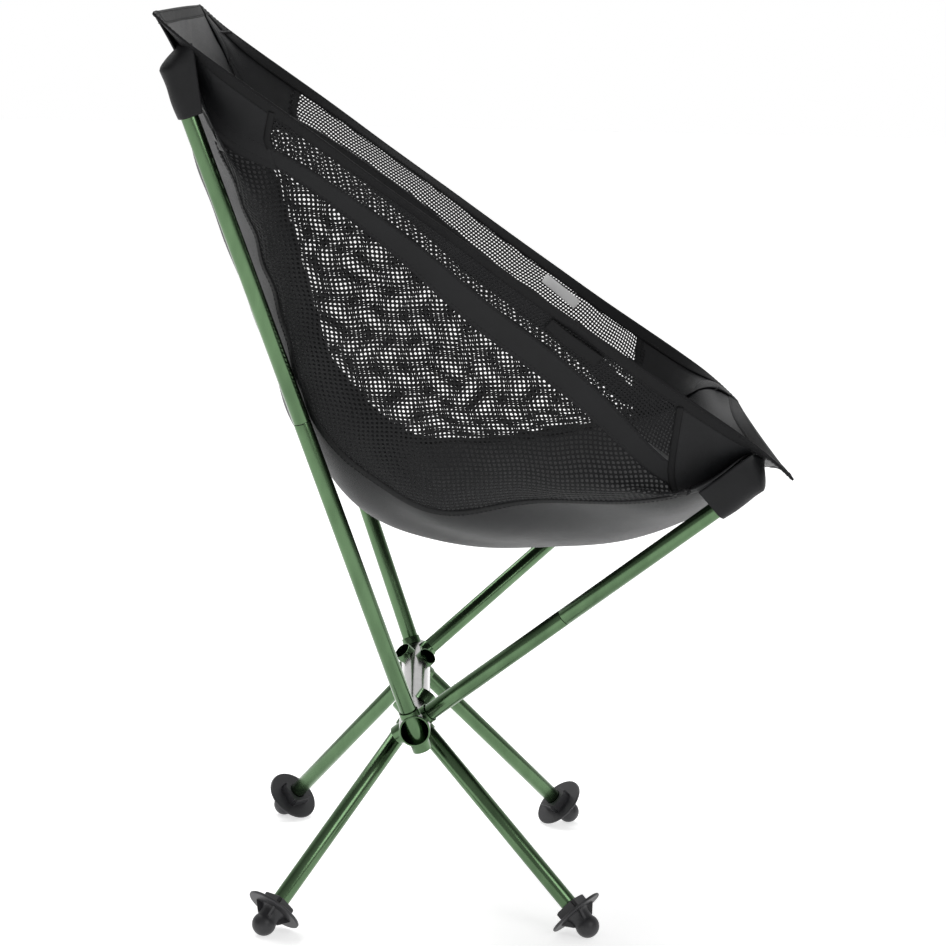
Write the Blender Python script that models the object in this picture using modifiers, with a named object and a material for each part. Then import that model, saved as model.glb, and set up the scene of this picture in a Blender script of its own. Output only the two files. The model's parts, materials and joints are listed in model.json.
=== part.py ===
"""Ultralight backpacking chair: a shock-corded tube frame that carries a slung mesh and fabric seat.

Metres, +Z up. The chair faces -Y and is symmetric about X = 0. The origin is the middle of the
chair's footprint box, on the ground. The sitter's right is -X.
"""

import math

import bmesh
import bpy
import numpy as np
from mathutils import Matrix, Vector

OBJECT_NAME = "ultralight_backpacking_chair"

# Tubes
TUBE_RADIUS = 0.006
TUBE_WALL = 0.0008
FIT_GAP = 0.0003  # radial clearance between nested tubes
SOCKET_WALL = 0.0007
SOCKET_MOUTH_REACH = 0.0145  # from the cross tube's axis to the mouth that takes the pole
SOCKET_STUB_REACH = 0.0170  # from the cross tube's axis to the open stub on the other side
TUBE_INSERTION = 0.0090  # how far a pole or leg passes the cross tube's axis
CROSS_RADIUS = 0.011
CROSS_WALL = 0.0012
CROSS_HALF_LENGTH = 0.137
END_MARGIN = 0.0025  # from the outermost socket's side to the cross tube's rim
SOCKET_SPACING = 0.0008  # between neighbouring sockets' walls
SOCKET_CROWDING = 0.85  # leaning sockets stand closer than their distance along the cross tube
FERRULE_WALL = 0.0007
FERRULE_IN_UPPER = 0.022
FERRULE_IN_LOWER = 0.030
CORD_RADIUS = 0.00125

# Frame layout, with Y counted from the cross tube
HUB_HEIGHT = 0.1407
BACK_TIP = Vector((0.2220, 0.1666, 0.6000))
FRONT_TIP = Vector((0.2015, -0.2250, 0.3312))
REAR_FOOT = (0.1680, 0.1028)
FRONT_FOOT = (0.1600, -0.1240)
BACK_JOINT_SHARE = 0.486  # where the two pole sections meet, as a share of the pole's length
FRONT_JOINT_SHARE = 0.455

# Feet, along the leg's axis from the centre of the ball
BALL_RADIUS = 0.0084
FLANGE_RADIUS = 0.0205
FLANGE_HEIGHT = 0.0115
FLANGE_THICKNESS = 0.0020
NECK_RADIUS = 0.0078
COLLAR_WALL = 0.0030
COLLAR_HEIGHT = 0.0065
LEG_SEAT = 0.0055  # where the leg tube stops inside the foot

# Pole tips and pockets
CAP_DOME = 0.0045
CAP_PLUG = 0.0080
POCKET_WALL = 0.0012
POCKET_GAP = 0.0008
POCKET_LENGTH = 0.034

# Sling
FABRIC = 0.0010
HEM_WIDTH = 0.0100
HEM_THICKNESS = 0.0016
PANEL_GAP = 0.0009  # between a panel's edge and the seam line it is sewn to
HEM_GAP = 0.0016  # between a hem's inner edge and the panel it binds
TAG_SIZE = (0.018, 0.008, 0.0006)
LOOP_SIZE = (0.026, 0.010, 0.0012)
TRIM_GAP = 0.0022

TUBE_STEPS = 20
CROSS_STEPS = 32
FOOT_STEPS = 24

SOCKET_RADIUS = TUBE_RADIUS + FIT_GAP + SOCKET_WALL
BORE_RADIUS = TUBE_RADIUS - TUBE_WALL
SOCKET_PITCH = (2 * SOCKET_RADIUS + SOCKET_SPACING) / SOCKET_CROWDING
FIRST_SOCKET_X = CROSS_HALF_LENGTH - END_MARGIN - SOCKET_RADIUS

# The sling's rails run from the top edge to the front edge. A station is (share of the way from
# the back tip to the front tip, inset from the line of the tips, drop square to that line as a
# share of the cross tube's depth below it, counted from the poles' upper side).
EDGE_RAIL = (
    (-0.068, -0.005, -0.0633), (-0.012, -0.007, -0.0563), (0.079, -0.010, -0.0563),
    (0.195, -0.014, -0.0563), (0.316, -0.017, -0.0527), (0.436, -0.017, -0.0527),
    (0.555, -0.016, -0.0527), (0.673, -0.014, -0.0527), (0.783, -0.013, -0.0563),
    (0.878, -0.013, -0.0598), (0.969, -0.013, -0.0598), (1.039, -0.012, -0.0457),
)
SEAM_RAIL = (
    (-0.070, 0.020, -0.0668), (0.017, 0.016, 0.0035), (0.094, 0.007, 0.0809),
    (0.186, 0.009, 0.0844), (0.292, 0.011, 0.0879), (0.405, 0.012, 0.109),
    (0.522, 0.011, 0.1371), (0.630, 0.011, 0.1442), (0.778, 0.007, 0.1477),
    (0.925, 0.002, 0.1371), (0.976, 0.010, -0.0176), (1.041, 0.012, -0.0457),
)
PANEL_RAIL = (
    (-0.070, 0.023, -0.0668), (0.013, 0.018, 0.007), (0.102, 0.011, 0.0949),
    (0.207, 0.024, 0.211), (0.298, 0.030, 0.327), (0.388, 0.036, 0.4501),
    (0.477, 0.042, 0.531), (0.636, 0.044, 0.545), (0.774, 0.038, 0.3727),
    (0.928, 0.004, 0.1442), (0.978, 0.013, -0.0141), (1.041, 0.015, -0.0457),
)
CENTRE_RAIL = (
    (-0.067, 0.0, -0.0738), (-0.022, 0.0, 0.0316), (0.061, 0.0, 0.1864),
    (0.143, 0.0, 0.2883), (0.245, 0.0, 0.4009), (0.348, 0.0, 0.5063),
    (0.479, 0.0, 0.6364), (0.671, 0.0, 0.6681), (0.859, 0.0, 0.5169),
    (0.989, 0.0, 0.3024), (1.037, 0.0, 0.1125), (1.042, 0.0, -0.0422),
)
LAST_STATION = len(EDGE_RAIL) - 1
WINDOW = (2.15, 8.85)  # stations between which the side windows are open mesh
BACK_PATCH_END = (2.5, 3.1)  # stations where the corner patch stops, on the edge and on the seam
FRONT_PATCH_START = (8.6, 8.9)
TAG_STATION = 7.3
LOOP_STATION = 7.1
TRIM_RAIL = 2.72  # just inside the side hem, counted in rails from the centre line

SIDES = (("right", -1), ("left", 1))


# Scene helpers

def clear_scene():
    for old in list(bpy.data.objects):
        bpy.data.objects.remove(old, do_unlink=True)


def new_collection(name):
    made = bpy.data.collections.new(name)
    bpy.context.scene.collection.children.link(made)
    return made


def material(name, colour, roughness, metallic=0.0):
    made = bpy.data.materials.new(name)
    made.use_nodes = True
    shader = made.node_tree.nodes["Principled BSDF"]
    shader.inputs["Base Color"].default_value = (*colour, 1.0)
    shader.inputs["Roughness"].default_value = roughness
    shader.inputs["Metallic"].default_value = metallic
    return made


clear_scene()
CHAIR = new_collection(OBJECT_NAME)
CUTTERS = new_collection("cutters")
GREEN = material("green_anodised", (0.09, 0.18, 0.09), 0.3, 0.9)
STEEL_GREY = material("cross_tube_grey", (0.35, 0.35, 0.35), 0.25, 0.9)
PLASTIC = material("dark_plastic", (0.03, 0.03, 0.035), 0.5)
ALUMINIUM = material("plain_aluminium", (0.7, 0.7, 0.7), 0.35, 1.0)
CORD = material("shock_cord", (0.02, 0.02, 0.02), 0.8)
CLOTH = material("black_ripstop", (0.02, 0.02, 0.022), 0.75)
MESH_CLOTH = material("black_mesh", (0.015, 0.015, 0.016), 0.85)
LABEL = material("blank_label", (0.8, 0.8, 0.8), 0.7)


def add_object(name, data, coat, parent=None):
    made = bpy.data.objects.new(name, data)
    CHAIR.objects.link(made)
    data.materials.append(coat)
    made.parent = parent
    return made


def add_empty(name, location, direction=(0, 0, 1)):
    """An empty whose own Z axis runs along direction: a joint's axis."""
    made = bpy.data.objects.new(name, None)
    CHAIR.objects.link(made)
    made.empty_display_size = 0.02
    made.location = location
    made.rotation_euler = Vector(direction).to_track_quat("Z", "X").to_euler()
    return made


def turned(name, profile, coat, parent, closed=False, steps=TUBE_STEPS):
    """A shape turned about its parent's Z axis from (radius, height) points, top to bottom outside."""
    count = len(profile)
    edges = [(i, i + 1) for i in range(count - 1)]
    if closed:
        edges.append((count - 1, 0))
    data = bpy.data.meshes.new(name)
    data.from_pydata([(radius, 0, z) for radius, z in profile], edges, [])
    made = add_object(name, data, coat, parent)
    screw = made.modifiers.new("turn", "SCREW")
    screw.steps = steps
    screw.render_steps = steps
    screw.use_merge_vertices = True
    screw.merge_threshold = 0.00001
    screw.use_smooth_shade = True
    return made


def tube(name, radius, wall, start, end, coat, parent, steps=TUBE_STEPS):
    """An open tube from start to end along its parent's Z axis."""
    inner = radius - wall
    profile = [(radius, end), (radius, start), (inner, start), (inner, end)]
    return turned(name, profile, coat, parent, closed=True, steps=steps)


def straight_cord(name, start, end, parent):
    line = bpy.data.curves.new(name, "CURVE")
    line.dimensions = "3D"
    line.bevel_depth = CORD_RADIUS
    line.bevel_resolution = 2
    line.use_fill_caps = True
    spline = line.splines.new("POLY")
    spline.points.add(1)
    spline.points[0].co = (0, 0, start, 1)
    spline.points[1].co = (0, 0, end, 1)
    return add_object(name, line, CORD, parent)


# Frame geometry

def rail_point(station):
    """A station of a rail on the left side, with Y counted from the cross tube."""
    share, inset, drop = station
    line = FRONT_TIP - BACK_TIP
    along = Vector((0, line.y, line.z)).normalized()
    square = Vector((0, -along.z, along.y))
    hub = Vector((BACK_TIP.x, 0, HUB_HEIGHT))
    depth = (hub - BACK_TIP).dot(square)
    point = BACK_TIP + share * line + (drop * depth - TUBE_RADIUS) * square
    return Vector((point.x - inset, point.y, point.z))


def footprint_shift():
    """How far the cross tube stands behind the middle of the chair."""
    ends = [rail_point(rail[i]).y for rail in (EDGE_RAIL, CENTRE_RAIL) for i in (0, LAST_STATION)]
    return -(max(ends) + min(ends)) / 2


HUB_Y = footprint_shift()


def hub_point(place, side):
    """Where the socket crosses the cross tube's axis; place 0 is the outermost."""
    return Vector((side * (FIRST_SOCKET_X - place * SOCKET_PITCH), HUB_Y, HUB_HEIGHT))


def at_side(point, side):
    return Vector((side * point[0], point[1] + HUB_Y, point[2]))


# Frame parts

def build_cross_tube(axes):
    """The cross tube, drilled through for the sockets."""
    hub = add_empty("cross_tube_axis", (0, HUB_Y, HUB_HEIGHT), (1, 0, 0))
    span = CROSS_HALF_LENGTH
    made = tube("cross_tube", CROSS_RADIUS, CROSS_WALL, -span, span, STEEL_GREY, hub, CROSS_STEPS)
    for name, axis in axes.items():
        bpy.ops.mesh.primitive_cylinder_add(
            vertices=TUBE_STEPS, radius=SOCKET_RADIUS + FIT_GAP, depth=4 * CROSS_RADIUS)
        cutter = bpy.context.object
        cutter.name = f"drill_{name}"
        for owner in list(cutter.users_collection):
            owner.objects.unlink(cutter)
        CUTTERS.objects.link(cutter)
        cutter.parent = axis
        cutter.hide_render = True
        cutter.display_type = "WIRE"
        drill = made.modifiers.new(cutter.name, "BOOLEAN")
        drill.operation = "DIFFERENCE"
        drill.solver = "EXACT"
        drill.object = cutter


def build_socket(name, axis):
    return tube(f"socket_{name}", SOCKET_RADIUS, SOCKET_WALL,
                -SOCKET_STUB_REACH, SOCKET_MOUTH_REACH, GREEN, axis)


def foot_profile():
    """The foot from its collar's rim down the outside to the ball, then up its bore."""
    flange_top = FLANGE_HEIGHT + FLANGE_THICKNESS
    collar_top = flange_top + COLLAR_HEIGHT
    bore = TUBE_RADIUS + FIT_GAP
    collar = bore + COLLAR_WALL
    neck_start = math.acos(NECK_RADIUS / BALL_RADIUS)
    angles = np.linspace(neck_start, -math.pi / 2, 8)
    ball = [(max(BALL_RADIUS * math.cos(a), 0.0), BALL_RADIUS * math.sin(a)) for a in angles]
    ball[-1] = (0.0, -BALL_RADIUS)
    bore_floor = LEG_SEAT - FIT_GAP
    return [(0.0, bore_floor), (bore, bore_floor), (bore, collar_top), (collar, collar_top),
            (collar, flange_top), (FLANGE_RADIUS, flange_top), (FLANGE_RADIUS, FLANGE_HEIGHT),
            (NECK_RADIUS + 0.002, FLANGE_HEIGHT), (NECK_RADIUS, FLANGE_HEIGHT - 0.003)] + ball


def build_leg(name, axis, length):
    """A leg hangs along its axis' Z, from the stub side of the socket into the foot."""
    tube(f"leg_{name}", TUBE_RADIUS, TUBE_WALL, -TUBE_INSERTION, length - LEG_SEAT, GREEN, axis)
    # The foot's own profile counts from the ball towards the hub, so it is turned end for end.
    profile = [(radius, length - z) for radius, z in foot_profile()]
    turned(f"foot_{name}", profile[::-1], PLASTIC, axis, steps=FOOT_STEPS)
    straight_cord(f"leg_cord_{name}", -TUBE_INSERTION, length - 2 * LEG_SEAT, axis)


def build_pole(name, axis, length):
    """Two pole sections, the ferrule that joins them, the end cap and the cord inside."""
    joint = length * (BACK_JOINT_SHARE if name.startswith("back") else FRONT_JOINT_SHARE)
    tube(f"lower_pole_{name}", TUBE_RADIUS, TUBE_WALL, -TUBE_INSERTION, joint - FIT_GAP, GREEN, axis)
    tube(f"upper_pole_{name}", TUBE_RADIUS, TUBE_WALL, joint, length, GREEN, axis)
    tube(f"ferrule_{name}", BORE_RADIUS - FIT_GAP, FERRULE_WALL,
         joint - FERRULE_IN_LOWER, joint + FERRULE_IN_UPPER, ALUMINIUM, axis)
    straight_cord(f"pole_cord_{name}", -TUBE_INSERTION, length - CAP_PLUG - 0.002, axis)
    plug = BORE_RADIUS - FIT_GAP
    rim = length + FIT_GAP
    dome = [(TUBE_RADIUS * math.cos(a), rim + 0.001 + (CAP_DOME - 0.001) * math.sin(a))
            for a in np.linspace(math.pi / 2, 0, 5)]
    dome[0] = (0.0, rim + CAP_DOME)
    turned(f"end_cap_{name}", dome + [(TUBE_RADIUS, rim), (plug, rim), (plug, length - CAP_PLUG),
                                     (0.0, length - CAP_PLUG)], PLASTIC, axis)


def build_pocket(name, axis, length):
    """The sewn sleeve that the pole's end sits in, open towards the hub."""
    inner = TUBE_RADIUS + POCKET_GAP
    outer = inner + POCKET_WALL
    top = length + FIT_GAP + CAP_DOME + POCKET_GAP
    mouth = top - POCKET_LENGTH
    turned(f"pocket_{name}", [(0.0, top + POCKET_WALL), (inner, top + POCKET_WALL),
                              (outer, top), (outer, mouth), (inner, mouth), (inner, top),
                              (0.0, top)], CLOTH, axis)


def build_frame():
    """Every socket line: two poles and two legs at each end of the cross tube."""
    axes = {}
    for side_name, side in SIDES:
        lines = (
            ("back", 0, BACK_TIP, build_pole),
            ("front", 1, FRONT_TIP, build_pole),
            ("fore", 2, (*FRONT_FOOT, BALL_RADIUS), build_leg),
            ("rear", 3, (*REAR_FOOT, BALL_RADIUS), build_leg),
        )
        for kind, place, end, build in lines:
            name = f"{kind}_{side_name}"
            start = hub_point(place, side)
            line = at_side(end, side) - start
            axis = add_empty(f"{name}_axis", start, line)
            axes[name] = axis
            build_socket(name, axis)
            build(name, axis, line.length)
            if build is build_pole:
                build_pocket(name, axis, line.length)
    build_cross_tube(axes)


# Sling geometry

def even(start, end, count):
    return list(np.linspace(start, end, count))


def natural_spline(knots, points, where):
    """The natural cubic spline through points at knots, read at the places in where."""
    knots = np.asarray(knots, float)
    points = np.asarray(points, float)
    step = np.diff(knots)[:, None]
    slope = np.diff(points, axis=0) / step
    count = len(knots)
    system = np.eye(count)
    right = np.zeros_like(points)
    for i in range(1, count - 1):
        system[i, i - 1:i + 2] = step[i - 1, 0], 2 * (step[i - 1, 0] + step[i, 0]), step[i, 0]
        right[i] = 6 * (slope[i] - slope[i - 1])
    bend = np.linalg.solve(system, right)
    where = np.atleast_1d(where)
    i = np.clip(np.searchsorted(knots, where, side="right") - 1, 0, count - 2)
    before = (where - knots[i])[:, None]
    after = (knots[i + 1] - where)[:, None]
    gap = step[i]
    return ((bend[i] * after ** 3 + bend[i + 1] * before ** 3) / (6 * gap)
            + (points[i] / gap - bend[i] * gap / 6) * after
            + (points[i + 1] / gap - bend[i + 1] * gap / 6) * before)


def rails_at(station):
    """The seven rail points across the sling at one station, from the right edge to the left."""
    stations = np.arange(LAST_STATION + 1)
    across = []
    for rail, side in ((EDGE_RAIL, -1), (SEAM_RAIL, -1), (PANEL_RAIL, -1), (CENTRE_RAIL, 0),
                       (PANEL_RAIL, 1), (SEAM_RAIL, 1), (EDGE_RAIL, 1)):
        points = [at_side(rail_point(place), side) for place in rail]
        across.append(natural_spline(stations, points, station)[0])
    return np.array(across)


def sling_point(station, rail):
    """A point of the sling; rail runs from -3 at the right edge over 0 to 3 at the left edge."""
    across = rails_at(station)
    return natural_spline(np.arange(-3, 4), across, rail)[0]


def rail_inside(station, side, margin):
    """The rail coordinate that lies a margin in from the side edge."""
    rails = np.linspace(3 * side, 2 * side, 9)
    points = natural_spline(np.arange(-3, 4), rails_at(station), rails)
    run = np.concatenate([[0], np.cumsum(np.linalg.norm(np.diff(points, axis=0), axis=1))])
    return float(np.interp(margin, run, rails))


def station_inside(rail, last, margin):
    """The station that lies a margin in from the top edge or, where last is set, the front edge."""
    edge, way = (LAST_STATION, -1) if last else (0, 1)
    stations = edge + way * np.linspace(0, 1.5, 9)
    points = np.array([sling_point(station, rail) for station in stations])
    run = np.concatenate([[0], np.cumsum(np.linalg.norm(np.diff(points, axis=0), axis=1))])
    return float(np.interp(margin, run, stations))


def sling_grid(starts, ends, rails, rows, hem_side=0):
    """Sling points in rows along it, between stations that may differ from column to column.

    With hem_side set, the last column stands at that side's hem and the others keep their shares.
    """
    shares = np.linspace(0, 1, rows)
    grid = np.empty((rows, len(rails), 3))
    for row, share in enumerate(shares):
        stations = [start + share * (end - start) for start, end in zip(starts, ends)]
        across = list(rails)
        if hem_side:
            inside = rail_inside(stations[-1], hem_side, HEM_WIDTH + HEM_GAP)
            shrink = (inside - rails[0]) / (rails[-1] - rails[0])
            across = [rails[0] + shrink * (rail - rails[0]) for rail in rails]
        for column, station in enumerate(stations):
            grid[row, column] = sling_point(station, across[column])
    return grid


def draw_in(grid, margins):
    """Move the grid's four borders inwards: first row, last row, first column, last column."""
    first, last, left, right = margins
    for edge, inner, margin in (((0,), (1,), first), ((-1,), (-2,), last),
                                ((slice(None), 0), (slice(None), 1), left),
                                ((slice(None), -1), (slice(None), -2), right)):
        way = grid[inner] - grid[edge]
        way /= np.linalg.norm(way, axis=-1, keepdims=True)
        grid[edge] = grid[edge] + margin * way
    return grid


def cloth_panel(name, grid, coat, thickness=FABRIC):
    """A sheet lofted through a grid of points and given its thickness."""
    rows, columns = grid.shape[:2]
    build = bmesh.new()
    points = [[build.verts.new(grid[row, column]) for column in range(columns)] for row in range(rows)]
    for row in range(rows - 1):
        for column in range(columns - 1):
            build.faces.new((points[row][column], points[row][column + 1],
                             points[row + 1][column + 1], points[row + 1][column]))
    data = bpy.data.meshes.new(name)
    build.to_mesh(data)
    build.free()
    data.shade_smooth()
    made = add_object(name, data, coat)
    shell = made.modifiers.new("thickness", "SOLIDIFY")
    shell.thickness = thickness
    shell.offset = 0.0
    return made


def build_side(side_name, side):
    """One side of the sling: window, mesh band, corner patches and the side hem."""
    columns = 4
    rails = even(2 * side, 3 * side, columns)
    hem = HEM_WIDTH + HEM_GAP
    top = [station_inside(rail, False, hem) for rail in rails]
    front = [station_inside(rail, True, hem) for rail in rails]
    back_end = even(BACK_PATCH_END[1], BACK_PATCH_END[0], columns)
    front_start = even(FRONT_PATCH_START[1], FRONT_PATCH_START[0], columns)
    stretches = (
        ("back_corner_patch", top, back_end, 6, CLOTH, 0.0, PANEL_GAP),
        ("side_mesh_band", back_end, front_start, 11, MESH_CLOTH, PANEL_GAP, PANEL_GAP),
        ("front_corner_patch", front_start, front, 7, CLOTH, PANEL_GAP, 0.0),
    )
    edge_stations = [0.0]
    for name, starts, ends, rows, coat, first, last in stretches:
        grid = sling_grid(starts, ends, rails, rows, hem_side=side)
        cloth_panel(f"{name}_{side_name}", draw_in(grid, (first, last, PANEL_GAP, 0.0)), coat)
        edge_stations += even(starts[-1], ends[-1], rows)
    edge_stations = sorted(set(edge_stations + [float(LAST_STATION)]))
    build_side_hem(side_name, side, edge_stations)
    columns = 6
    window = sling_grid([WINDOW[0]] * columns, [WINDOW[1]] * columns, even(side, 2 * side, columns), 14)
    cloth_panel(f"window_mesh_{side_name}", draw_in(window, (PANEL_GAP,) * 4), MESH_CLOTH)


def build_side_hem(side_name, side, stations):
    """The folded binding along a side edge, from the top edge to the front edge."""
    grid = np.empty((len(stations), 2, 3))
    for row, station in enumerate(stations):
        grid[row, 0] = sling_point(station, 3 * side)
        grid[row, 1] = sling_point(station, rail_inside(station, side, HEM_WIDTH))
    cloth_panel(f"side_hem_{side_name}", grid, CLOTH, HEM_THICKNESS)


def build_end_hem(name, last):
    """The folded binding along the top edge or the front edge, between the side hems."""
    edge = float(LAST_STATION) if last else 0.0
    margin = HEM_WIDTH + HEM_GAP
    reach = [rail_inside(edge, side, margin) for side in (-1, 1)]
    rails = even(reach[0], -2, 3) + even(-1, 1, 13) + even(2, reach[1], 3)
    grid = np.empty((2, len(rails), 3))
    for column, rail in enumerate(rails):
        grid[0, column] = sling_point(edge, rail)
        grid[1, column] = sling_point(station_inside(rail, last, HEM_WIDTH), rail)
    cloth_panel(name, grid, CLOTH, HEM_THICKNESS)


def build_centre_panel():
    """The solid back and seat panel, from seam to seam and from the top hem to the front hem."""
    hem = HEM_WIDTH + HEM_GAP
    rails = even(-1, 1, 13)
    top = [station_inside(rail, False, hem) for rail in rails]
    front = [station_inside(rail, True, hem) for rail in rails]
    grid = sling_grid(top, front, rails, 23)
    cloth_panel("centre_panel", draw_in(grid, (0.0, 0.0, PANEL_GAP, PANEL_GAP)), CLOTH)


def build_trim(name, station, side, size, coat, outwards):
    """A small sewn patch beside the side hem, on the outside or the inside of the sling."""
    here = Vector(sling_point(station, TRIM_RAIL * side))
    along = (Vector(sling_point(station + 0.1, TRIM_RAIL * side)) - here).normalized()
    across = (Vector(sling_point(station, (TRIM_RAIL - 0.05) * side)) - here).normalized()
    square = along.cross(across).normalized()
    if square.x * side < 0:
        square.negate()
    if not outwards:
        square.negate()
    length, width, thickness = size
    bpy.ops.mesh.primitive_cube_add(size=1)
    made = bpy.context.object
    for owner in list(made.users_collection):
        owner.objects.unlink(made)
    CHAIR.objects.link(made)
    made.name = name
    made.data.name = name
    made.data.materials.append(coat)
    for corner in made.data.vertices:
        corner.co = (corner.co.x * length, corner.co.y * width, corner.co.z * thickness)
    made.location = here + TRIM_GAP * square
    across = square.cross(along)
    made.rotation_euler = Matrix((along, across, square)).transposed().to_euler()


def build_sling():
    build_centre_panel()
    for side_name, side in SIDES:
        build_side(side_name, side)
    build_end_hem("top_hem", last=False)
    build_end_hem("front_hem", last=True)
    build_trim("gear_loop", LOOP_STATION, -1, LOOP_SIZE, CLOTH, outwards=True)
    build_trim("blank_tag", TAG_STATION, 1, TAG_SIZE, LABEL, outwards=False)


build_frame()
build_sling()
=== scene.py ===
"""Looks of the ultralight backpacking chair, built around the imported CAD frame."""
import json
import math

import bmesh
import bpy
import numpy as np
from mathutils import Matrix, Vector


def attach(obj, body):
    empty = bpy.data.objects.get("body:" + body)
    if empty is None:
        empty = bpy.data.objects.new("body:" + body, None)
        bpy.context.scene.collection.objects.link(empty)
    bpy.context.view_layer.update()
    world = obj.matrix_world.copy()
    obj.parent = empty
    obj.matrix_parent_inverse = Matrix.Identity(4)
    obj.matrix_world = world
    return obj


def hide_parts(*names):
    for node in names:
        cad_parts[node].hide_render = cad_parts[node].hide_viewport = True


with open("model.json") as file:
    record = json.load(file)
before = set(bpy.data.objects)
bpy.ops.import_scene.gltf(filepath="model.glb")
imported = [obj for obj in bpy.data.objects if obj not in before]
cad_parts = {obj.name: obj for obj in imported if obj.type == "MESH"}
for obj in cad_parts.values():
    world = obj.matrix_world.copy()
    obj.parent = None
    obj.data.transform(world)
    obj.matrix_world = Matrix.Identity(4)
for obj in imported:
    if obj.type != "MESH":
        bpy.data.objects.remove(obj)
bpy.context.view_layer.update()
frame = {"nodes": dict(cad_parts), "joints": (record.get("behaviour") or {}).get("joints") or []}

JOINTS = {joint["name"]: joint for joint in frame["joints"]}
SIDES = (("right", -1), ("left", 1))
MM = 0.001

# Camera: nearly square to the chair's right side
CAMERA_PLACE = (-2.404, 0.0363, 0.6686)
CAMERA_YAW = -0.0165
CAMERA_PITCH = 0.1503
CAMERA_ROLL = 0.0217
CAMERA_LENS = 125.6

# Tubes
TUBE_WALL = 0.8 * MM
SOCKET_WALL = 0.7 * MM
FERRULE_WALL = 0.7 * MM
CROSS_WALL = 1.2 * MM

# Cloth
FABRIC = 0.45 * MM
HEM_WIDTH = 10.0 * MM
HEM_THICKNESS = 1.7 * MM
TAPE_RAILS = (2.12, 2.40)
NET_PITCH = 3.27 * MM
NET_HOLE = 1.12 * MM
BAND_PITCH = 2.6 * MM
BAND_HOLE = 0.80 * MM
NET_THREAD = 0.42 * MM
NET_CORNER = 0.72  # how far an octagonal hole's corners reach, as a share of the hole's reach
BAND_STATIONS = (2.3, 9.1)
STITCH_PITCH = 3.2 * MM
STITCH_MARGIN = 1.6 * MM  # from a hem's edge to its row of stitches
LEAST_CUT = 0.31  # the smallest area worked out for a panel, as a share of its rectangle

FLOOR_GLOW = 0.62


# ---------------------------------------------------------------- materials

def coat(name, colour, roughness, metallic=0.0):
    """A Principled material; returns it with its tree and shader."""
    made = bpy.data.materials.new(name)
    made.use_nodes = True
    tree = made.node_tree
    shader = tree.nodes["Principled BSDF"]
    shader.inputs["Base Color"].default_value = (*colour, 1)
    shader.inputs["Roughness"].default_value = roughness
    shader.inputs["Metallic"].default_value = metallic
    return made, tree, shader


def add(tree, kind, **values):
    node = tree.nodes.new(kind)
    for key, value in values.items():
        if key in node.inputs:
            node.inputs[key].default_value = value
        else:
            setattr(node, key, value)
    return node


def mapped(tree, scale, space="Object"):
    """Texture coordinates stretched by scale."""
    where = add(tree, "ShaderNodeTexCoord")
    mapping = add(tree, "ShaderNodeMapping", Scale=scale)
    tree.links.new(where.outputs[space], mapping.inputs["Vector"])
    return mapping.outputs["Vector"]


def noise(tree, vector, scale, detail=3.0, rough=0.55):
    made = add(tree, "ShaderNodeTexNoise", Scale=scale, Detail=detail, Roughness=rough)
    tree.links.new(vector, made.inputs["Vector"])
    return made.outputs["Fac"]


def ramp(tree, value, low, high, start=0.3, end=0.7):
    """Two colours blended by a value."""
    made = add(tree, "ShaderNodeValToRGB")
    made.color_ramp.elements[0].position = start
    made.color_ramp.elements[0].color = (*low, 1)
    made.color_ramp.elements[1].position = end
    made.color_ramp.elements[1].color = (*high, 1)
    tree.links.new(value, made.inputs["Fac"])
    return made.outputs["Color"]


def spread(tree, value, low, high):
    made = add(tree, "ShaderNodeMapRange")
    made.inputs["To Min"].default_value = low
    made.inputs["To Max"].default_value = high
    tree.links.new(value, made.inputs["Value"])
    return made.outputs["Result"]


def total(tree, first, second, kind="ADD"):
    made = add(tree, "ShaderNodeMath", operation=kind)
    tree.links.new(first, made.inputs[0])
    if hasattr(second, "is_output"):
        tree.links.new(second, made.inputs[1])
    else:
        made.inputs[1].default_value = second
    return made.outputs[0]


def bump(tree, shader, height, strength, distance):
    made = add(tree, "ShaderNodeBump", Strength=strength, Distance=distance)
    tree.links.new(height, made.inputs["Height"])
    tree.links.new(made.outputs["Normal"], shader.inputs["Normal"])


def wave(tree, vector, direction, scale):
    made = add(tree, "ShaderNodeTexWave", Scale=scale, Distortion=0.4)
    made.inputs["Detail"].default_value = 1.0
    made.bands_direction = direction
    tree.links.new(vector, made.inputs["Vector"])
    return made.outputs["Fac"]


def anodised(name, dark, light, roughness):
    """Drawn tube: fine lengthwise drawing lines under a dyed oxide film."""
    made, tree, shader = coat(name, light, roughness, 1.0)
    lines = noise(tree, mapped(tree, (900, 900, 14)), 1.0, 2.0)
    cloud = noise(tree, mapped(tree, (60, 60, 12)), 1.0, 3.0)
    tree.links.new(ramp(tree, cloud, dark, light), shader.inputs["Base Color"])
    tree.links.new(spread(tree, lines, roughness - 0.06, roughness + 0.08), shader.inputs["Roughness"])
    bump(tree, shader, lines, 0.06, 0.0002)
    shader.inputs["Coat Weight"].default_value = 0.25
    shader.inputs["Coat Roughness"].default_value = 0.12
    return made


def moulded(name, colour):
    """Injection-moulded plastic with a fine spark-eroded texture."""
    made, tree, shader = coat(name, colour, 0.42)
    grain = noise(tree, mapped(tree, (1, 1, 1)), 1800.0, 2.0)
    cloud = noise(tree, mapped(tree, (1, 1, 1)), 70.0, 3.0)
    light = tuple(1.5 * c for c in colour)
    tree.links.new(ramp(tree, cloud, colour, light), shader.inputs["Base Color"])
    tree.links.new(spread(tree, cloud, 0.36, 0.55), shader.inputs["Roughness"])
    bump(tree, shader, grain, 0.12, 0.0002)
    return made


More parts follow.
